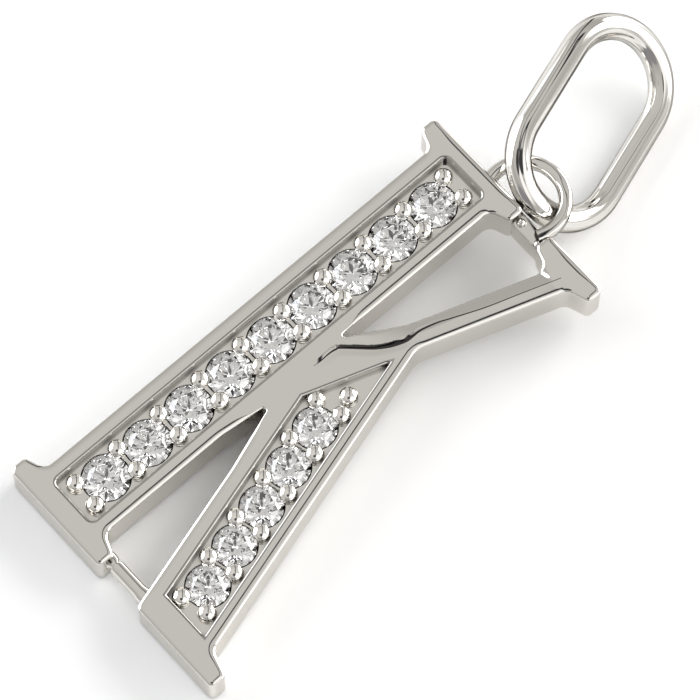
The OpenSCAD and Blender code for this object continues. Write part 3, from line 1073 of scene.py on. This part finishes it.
def eyelet(shell):
    """The half ring above the bridge. Both of its ends run on below its centre by the dip."""
    z = THICKNESS - EYELET_SINK - EYELET_WIRE
    middle = CAP_HEIGHT + EYELET_RISE
    path = [
        (EYELET_X + EYELET_RADIUS * math.cos(t), middle + EYELET_RADIUS * math.sin(t), z)
        for t in np.linspace(-EYELET_DIP, math.pi + EYELET_DIP, EYELET_RINGS)
    ]
    radii = [EYELET_WIRE] * EYELET_RINGS
    tube(shell, path, radii, WIRE_SQUARE, EYELET_SIDES, caps=True, waves=RING_LINES)


def bridge(material):
    """The low plate between the two cap serifs, with softened edges."""
    low = np.array((STEM_REACH - LET_IN, CAP_HEIGHT - BRIDGE_DEPTH, 0.0))
    high = np.array((ARM_SERIF_START + LET_IN, CAP_HEIGHT, BRIDGE_HEIGHT))
    mesh = bmesh.new()
    bmesh.ops.create_cube(mesh, size=1)
    for v in mesh.verts:
        v.co = Vector((low + high) / 2 + (high - low) * np.array(v.co))
    bmesh.ops.bevel(mesh, geom=mesh.edges[:], offset=BRIDGE_BEVEL, segments=4, profile=0.5, affect="EDGES")
    data = bpy.data.meshes.new("bridge_plate")
    mesh.to_mesh(data)
    mesh.free()
    co = np.array([v.co for v in data.vertices])
    for v, p in zip(data.vertices, lay(co)):
        v.co = p
    for face in data.polygons:
        face.use_smooth = True
    data.materials.append(material)
    data.set_sharp_from_angle(angle=BRIDGE_SHARP)
    add_piece("bridge_plate", data)


def solder(shell):
    """Small domes of solder at the bridge's corners, where the eyelet and the serifs join it."""
    for x, y, size, height in SOLDER:
        profile = [
            (max(size * math.cos(t), SOLDER_POLE), BRIDGE_HEIGHT - SOLDER_SINK + height * math.sin(t))
            for t in np.linspace(0, math.pi / 2, SOLDER_STEPS)
        ]
        turned(shell, (x, y), profile, SOLDER_SIDES)


def bail_path(across, along):
    """Places a point of the bail's own plane, across and along it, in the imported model's frame."""
    turn = Matrix.Rotation(BAIL_HEADING, 3, "Z") @ Matrix.Rotation(BAIL_ROLL, 3, "Y")
    at = turn @ Vector((across, along, 0))
    z = BAIL_WIRE + BAIL_HALF_WIDTH * math.sin(BAIL_ROLL)
    return (at.x + BAIL_X - ORIGIN_X, at.y + BAIL_Y - ORIGIN_Y, at.z + z)


def bail(material):
    points = []
    straight_steps, turn_steps = BAIL_STEPS
    for side in (1, -1):
        for y in np.linspace(-BAIL_HALF_STRAIGHT, BAIL_HALF_STRAIGHT, straight_steps + 1)[:-1]:
            points.append((side * BAIL_HALF_WIDTH, side * y))
        for t in np.linspace(0, math.pi, turn_steps + 1)[:-1]:
            points.append((
                side * BAIL_HALF_WIDTH * math.cos(t),
                side * (BAIL_HALF_STRAIGHT + BAIL_HALF_WIDTH * math.sin(t)),
            ))
    path = [bail_path(x, y) for x, y in points]
    shell = Shell()
    tube(shell, path, [BAIL_WIRE] * len(path), BAIL_SQUARE, BAIL_SIDES, closed=True, waves=BAIL_LINES)
    piece = piece_from("bail_wire", shell, material, placed=True)
    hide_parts("bail")


# Materials

# Tint of what the letter and the round wires mirror at a slant
EDGE_OUTLINE = (0.82, 0.81, 0.79)
WIRE_OUTLINE = (0.12, 0.11, 0.10)
METAL_COLOUR = (0.785, 0.765, 0.73)
# Painted shade: a recess's colour darkens over this reach, between these two shares of open sky
PAINTED_SHADE_REACH = 0.22 * MM
PAINTED_SHADE_SAMPLES = 6
PAINTED_SHADE_RAMP = (0.12, 0.62)
# The fine ripple of the polish, and the roughness that goes with it
RIPPLE_SCALE = 900
RIPPLE_DETAIL = 2
RIPPLE_STRENGTH = 0.15
RIPPLE_HEIGHT = 0.01 * MM
POLISH = (0.05, 0.10)
STONE_COLOUR = (0.985, 0.985, 0.985)
STONE_INDEX = 2.417
FLOOR_COLOUR = (0.915, 0.915, 0.915)
FLOOR_ROUGHNESS = 0.9
FLOOR_GLOSS = 0.2
FLOOR_REACH = 2.0


def new_material(name):
    material = bpy.data.materials.new(name)
    material.use_nodes = True
    return material, material.node_tree.nodes, material.node_tree.links


def polished_metal(name, darkest, brightest=1.0, outline=(1.0, 1.0, 1.0)):
    """Bright metal with a fine ripple.

    Its colour darkens in close recesses down to a share of it, which is painted shade, and outline tints what
    it mirrors at a slant.
    """
    material, nodes, links = new_material(name)
    shader = nodes["Principled BSDF"]
    shader.inputs["Metallic"].default_value = 1.0
    shader.inputs["Specular Tint"].default_value = (*outline, 1)
    # Painted shade: by how much open sky a point sees, its colour runs from darkest in recesses to brightest
    # in the open
    painted_shade = nodes.new("ShaderNodeAmbientOcclusion")
    painted_shade.samples = PAINTED_SHADE_SAMPLES
    painted_shade.inputs["Distance"].default_value = PAINTED_SHADE_REACH
    tone = nodes.new("ShaderNodeValToRGB")
    tone.color_ramp.elements[0].position = PAINTED_SHADE_RAMP[0]
    tone.color_ramp.elements[0].color = (*(darkest * share for share in METAL_COLOUR), 1)
    tone.color_ramp.elements[1].position = PAINTED_SHADE_RAMP[1]
    tone.color_ramp.elements[1].color = (*(brightest * share for share in METAL_COLOUR), 1)
    links.new(painted_shade.outputs["AO"], tone.inputs["Fac"])
    links.new(tone.outputs["Color"], shader.inputs["Base Color"])
    place = nodes.new("ShaderNodeTexCoord")
    ripple = nodes.new("ShaderNodeTexNoise")
    ripple.inputs["Scale"].default_value = RIPPLE_SCALE
    ripple.inputs["Detail"].default_value = RIPPLE_DETAIL
    links.new(place.outputs["Object"], ripple.inputs["Vector"])
    bump = nodes.new("ShaderNodeBump")
    bump.inputs["Strength"].default_value = RIPPLE_STRENGTH
    bump.inputs["Distance"].default_value = RIPPLE_HEIGHT
    links.new(ripple.outputs["Fac"], bump.inputs["Height"])
    links.new(bump.outputs["Normal"], shader.inputs["Normal"])
    haze = nodes.new("ShaderNodeMapRange")
    haze.inputs["To Min"].default_value = POLISH[0]
    haze.inputs["To Max"].default_value = POLISH[1]
    links.new(ripple.outputs["Fac"], haze.inputs["Value"])
    links.new(haze.outputs["Result"], shader.inputs["Roughness"])
    return material


def clear_stone():
    material, nodes, links = new_material("clear_stone")
    shader = nodes["Principled BSDF"]
    shader.inputs["Base Color"].default_value = (*STONE_COLOUR, 1)
    shader.inputs["Roughness"].default_value = 0.0
    shader.inputs["IOR"].default_value = STONE_INDEX
    shader.inputs["Transmission Weight"].default_value = 1.0
    return material


def floor_material():
    material, nodes, links = new_material("pale_floor")
    shader = nodes["Principled BSDF"]
    shader.inputs["Base Color"].default_value = (*FLOOR_COLOUR, 1)
    shader.inputs["Roughness"].default_value = FLOOR_ROUGHNESS
    shader.inputs["Specular IOR Level"].default_value = FLOOR_GLOSS
    return material


# Studio

def camera():
    ahead, turn = camera_turn()
    data = bpy.data.cameras.new("camera")
    data.sensor_width = SENSOR
    data.lens = SENSOR * FOCAL_PIXELS / FRAME_PIXELS
    data.clip_start = CLIP_START
    obj = bpy.data.objects.new("camera", data)
    obj.matrix_world = Matrix.Translation(CAMERA_TARGET - ahead * CAMERA_DISTANCE) @ turn.to_4x4()
    bpy.context.scene.collection.objects.link(obj)
    bpy.context.scene.camera = obj


def floor():
    mesh = bpy.data.meshes.new("floor")
    r = FLOOR_REACH
    mesh.from_pydata([(-r, -r, 0), (r, -r, 0), (r, r, 0), (-r, r, 0)], [], [(0, 1, 2, 3)])
    mesh.materials.append(floor_material())
    obj = bpy.data.objects.new("floor", mesh)
    bpy.context.scene.collection.objects.link(obj)


# Panels of the light tent: direction, half angle and softness in degrees, then the colour
PANELS = (
    # bright wall on the picture's left
    ((-0.85, -0.43, 0.30), 31, 5, (3.4, 3.52, 3.65)),
    # bright wall on the picture's right
    ((0.22, 0.93, 0.28), 28, 5, (6.0, 5.95, 5.85)),
    # a broad dim light above the right
    ((0.70, 0.05, 0.71), 24, 14, (1.25, 1.24, 1.23)),
    # a small light at the right
    ((0.794, 0.422, 0.438), 11, 5, (3.2, 3.2, 3.2)),
    # the photographer's dark side of the tent
    ((0.50, -0.84, 0.22), 20, 8, (0.3, 0.3, 0.31)),
    # the dark opening round the lens
    ((0.262, -0.267, 0.927), 13, 3, (0.06, 0.06, 0.063)),
)
TENT_LOW = (0.85, 0.84, 0.83)
TENT_MIDDLE = (0.50, 0.49, 0.475)
TENT_HIGH = (0.68, 0.67, 0.65)
# Between these heights the tent has its middle tone, and from the last height up its high one
TENT_MIDDLE_BAND = (0.42, 0.6)
TENT_HIGH_FROM = 0.93
# A dark slit runs over the tent on a great circle: the circle's axis, and its half width in degrees
SLIT_AXIS = (0.675, 0.724, -0.148)
SLIT_HALF = 2.6
SLIT_SOFTNESS = 0.015
# It fades in between these heights
SLIT_FOOT = (0.0, 0.05)
SLIT_COLOUR = (0.015, 0.015, 0.02)


def tent_mix(nodes, links, base, mask, colour):
    mix = nodes.new("ShaderNodeMix")
    mix.data_type = "RGBA"
    links.new(mask, mix.inputs["Factor"])
    links.new(base, mix.inputs[6])
    mix.inputs[7].default_value = (*colour, 1)
    return mix.outputs[2]


def tent_step(nodes, links, value, low, high):
    """0 below low, 1 above high and smooth between, where low may be the larger one."""
    step = nodes.new("ShaderNodeMapRange")
    step.interpolation_type = "SMOOTHSTEP"
    step.inputs["From Min"].default_value = low
    step.inputs["From Max"].default_value = high
    links.new(value, step.inputs["Value"])
    return step.outputs["Result"]


def sky():
    """A light tent: grey overhead, a bright wall on either side, a dark slit and the lens's opening."""
    world = bpy.data.worlds.new("tent")
    world.use_nodes = True
    bpy.context.scene.world = world
    nodes, links = world.node_tree.nodes, world.node_tree.links
    background = nodes["Background"]
    place = nodes.new("ShaderNodeTexCoord").outputs["Generated"]
    split = nodes.new("ShaderNodeSeparateXYZ")
    links.new(place, split.inputs["Vector"])
    ramp = nodes.new("ShaderNodeValToRGB")
    ramp.color_ramp.elements[0].position = 0.0
    ramp.color_ramp.elements[0].color = (*TENT_LOW, 1)
    ramp.color_ramp.elements[1].position = TENT_HIGH_FROM
    ramp.color_ramp.elements[1].color = (*TENT_HIGH, 1)
    for height in TENT_MIDDLE_BAND:
        ramp.color_ramp.elements.new(height).color = (*TENT_MIDDLE, 1)
    links.new(split.outputs["Z"], ramp.inputs["Fac"])
    colour = ramp.outputs["Color"]

    def facing(axis):
        dot = nodes.new("ShaderNodeVectorMath")
        dot.operation = "DOT_PRODUCT"
        dot.inputs[1].default_value = Vector(axis).normalized()
        links.new(place, dot.inputs[0])
        return dot.outputs["Value"]

    across = nodes.new("ShaderNodeMath")
    across.operation = "ABSOLUTE"
    links.new(facing(SLIT_AXIS), across.inputs[0])
    outer = math.sin(math.radians(SLIT_HALF) + SLIT_SOFTNESS)
    inner = math.sin(math.radians(SLIT_HALF) - SLIT_SOFTNESS)
    slit = tent_step(nodes, links, across.outputs["Value"], outer, inner)
    above = tent_step(nodes, links, split.outputs["Z"], *SLIT_FOOT)
    both = nodes.new("ShaderNodeMath")
    both.operation = "MULTIPLY"
    links.new(slit, both.inputs[0])
    links.new(above, both.inputs[1])
    colour = tent_mix(nodes, links, colour, both.outputs["Value"], SLIT_COLOUR)
    for axis, angle, softness, shade in PANELS:
        outer = math.cos(math.radians(angle + softness / 2))
        inner = math.cos(math.radians(angle - softness / 2))
        colour = tent_mix(nodes, links, colour, tent_step(nodes, links, facing(axis), outer, inner), shade)
    links.new(colour, background.inputs["Color"])
    background.inputs["Strength"].default_value = 1.0


def main():
    camera()
    # The metal of the letter, the bar and the bridge, with painted shade in its recesses
    metal = polished_metal("polished_metal", darkest=0.2, outline=EDGE_OUTLINE)
    # A lighter, lit copy of the metal for the seats and the beads: painted light, with a little painted shade
    # in recesses
    seats = polished_metal("polished_seats_painted_light", darkest=1.0, brightest=1.22)
    # Nearly black metal for the crease's bottom: painted shade
    crease_shade_metal = polished_metal("crease_painted_shade", darkest=0.05, brightest=0.08)
    # The wires' metal, with painted shade in its recesses
    wire = polished_metal("polished_wire", darkest=0.2, outline=WIRE_OUTLINE)
    # A darker copy of the metal for the trays' rims and walls, darker still in recesses: painted shade
    shaded_walls = polished_metal("tray_walls_painted_shade", darkest=0.05, brightest=0.6)
    stone = clear_stone()

    letter = Shell()
    letter_body(letter)
    letter_piece = piece_from("letter_body", letter, metal, seats, crease_shade_metal, shaded_walls)
    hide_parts("letter_frame")
    prongs = Shell()
    beads(prongs)
    piece_from("bead_prongs", prongs, seats)
    bar = Shell()
    foot_bar(bar)
    piece_from("foot_bar", bar, metal)
    ring = Shell()
    eyelet(ring)
    solder(ring)
    piece_from("eyelet_ring", ring, wire)
    bridge(metal)
    bail(wire)

    stones(stone)

    floor()
    sky()
    bpy.context.scene.view_settings.view_transform = "Standard"


main()
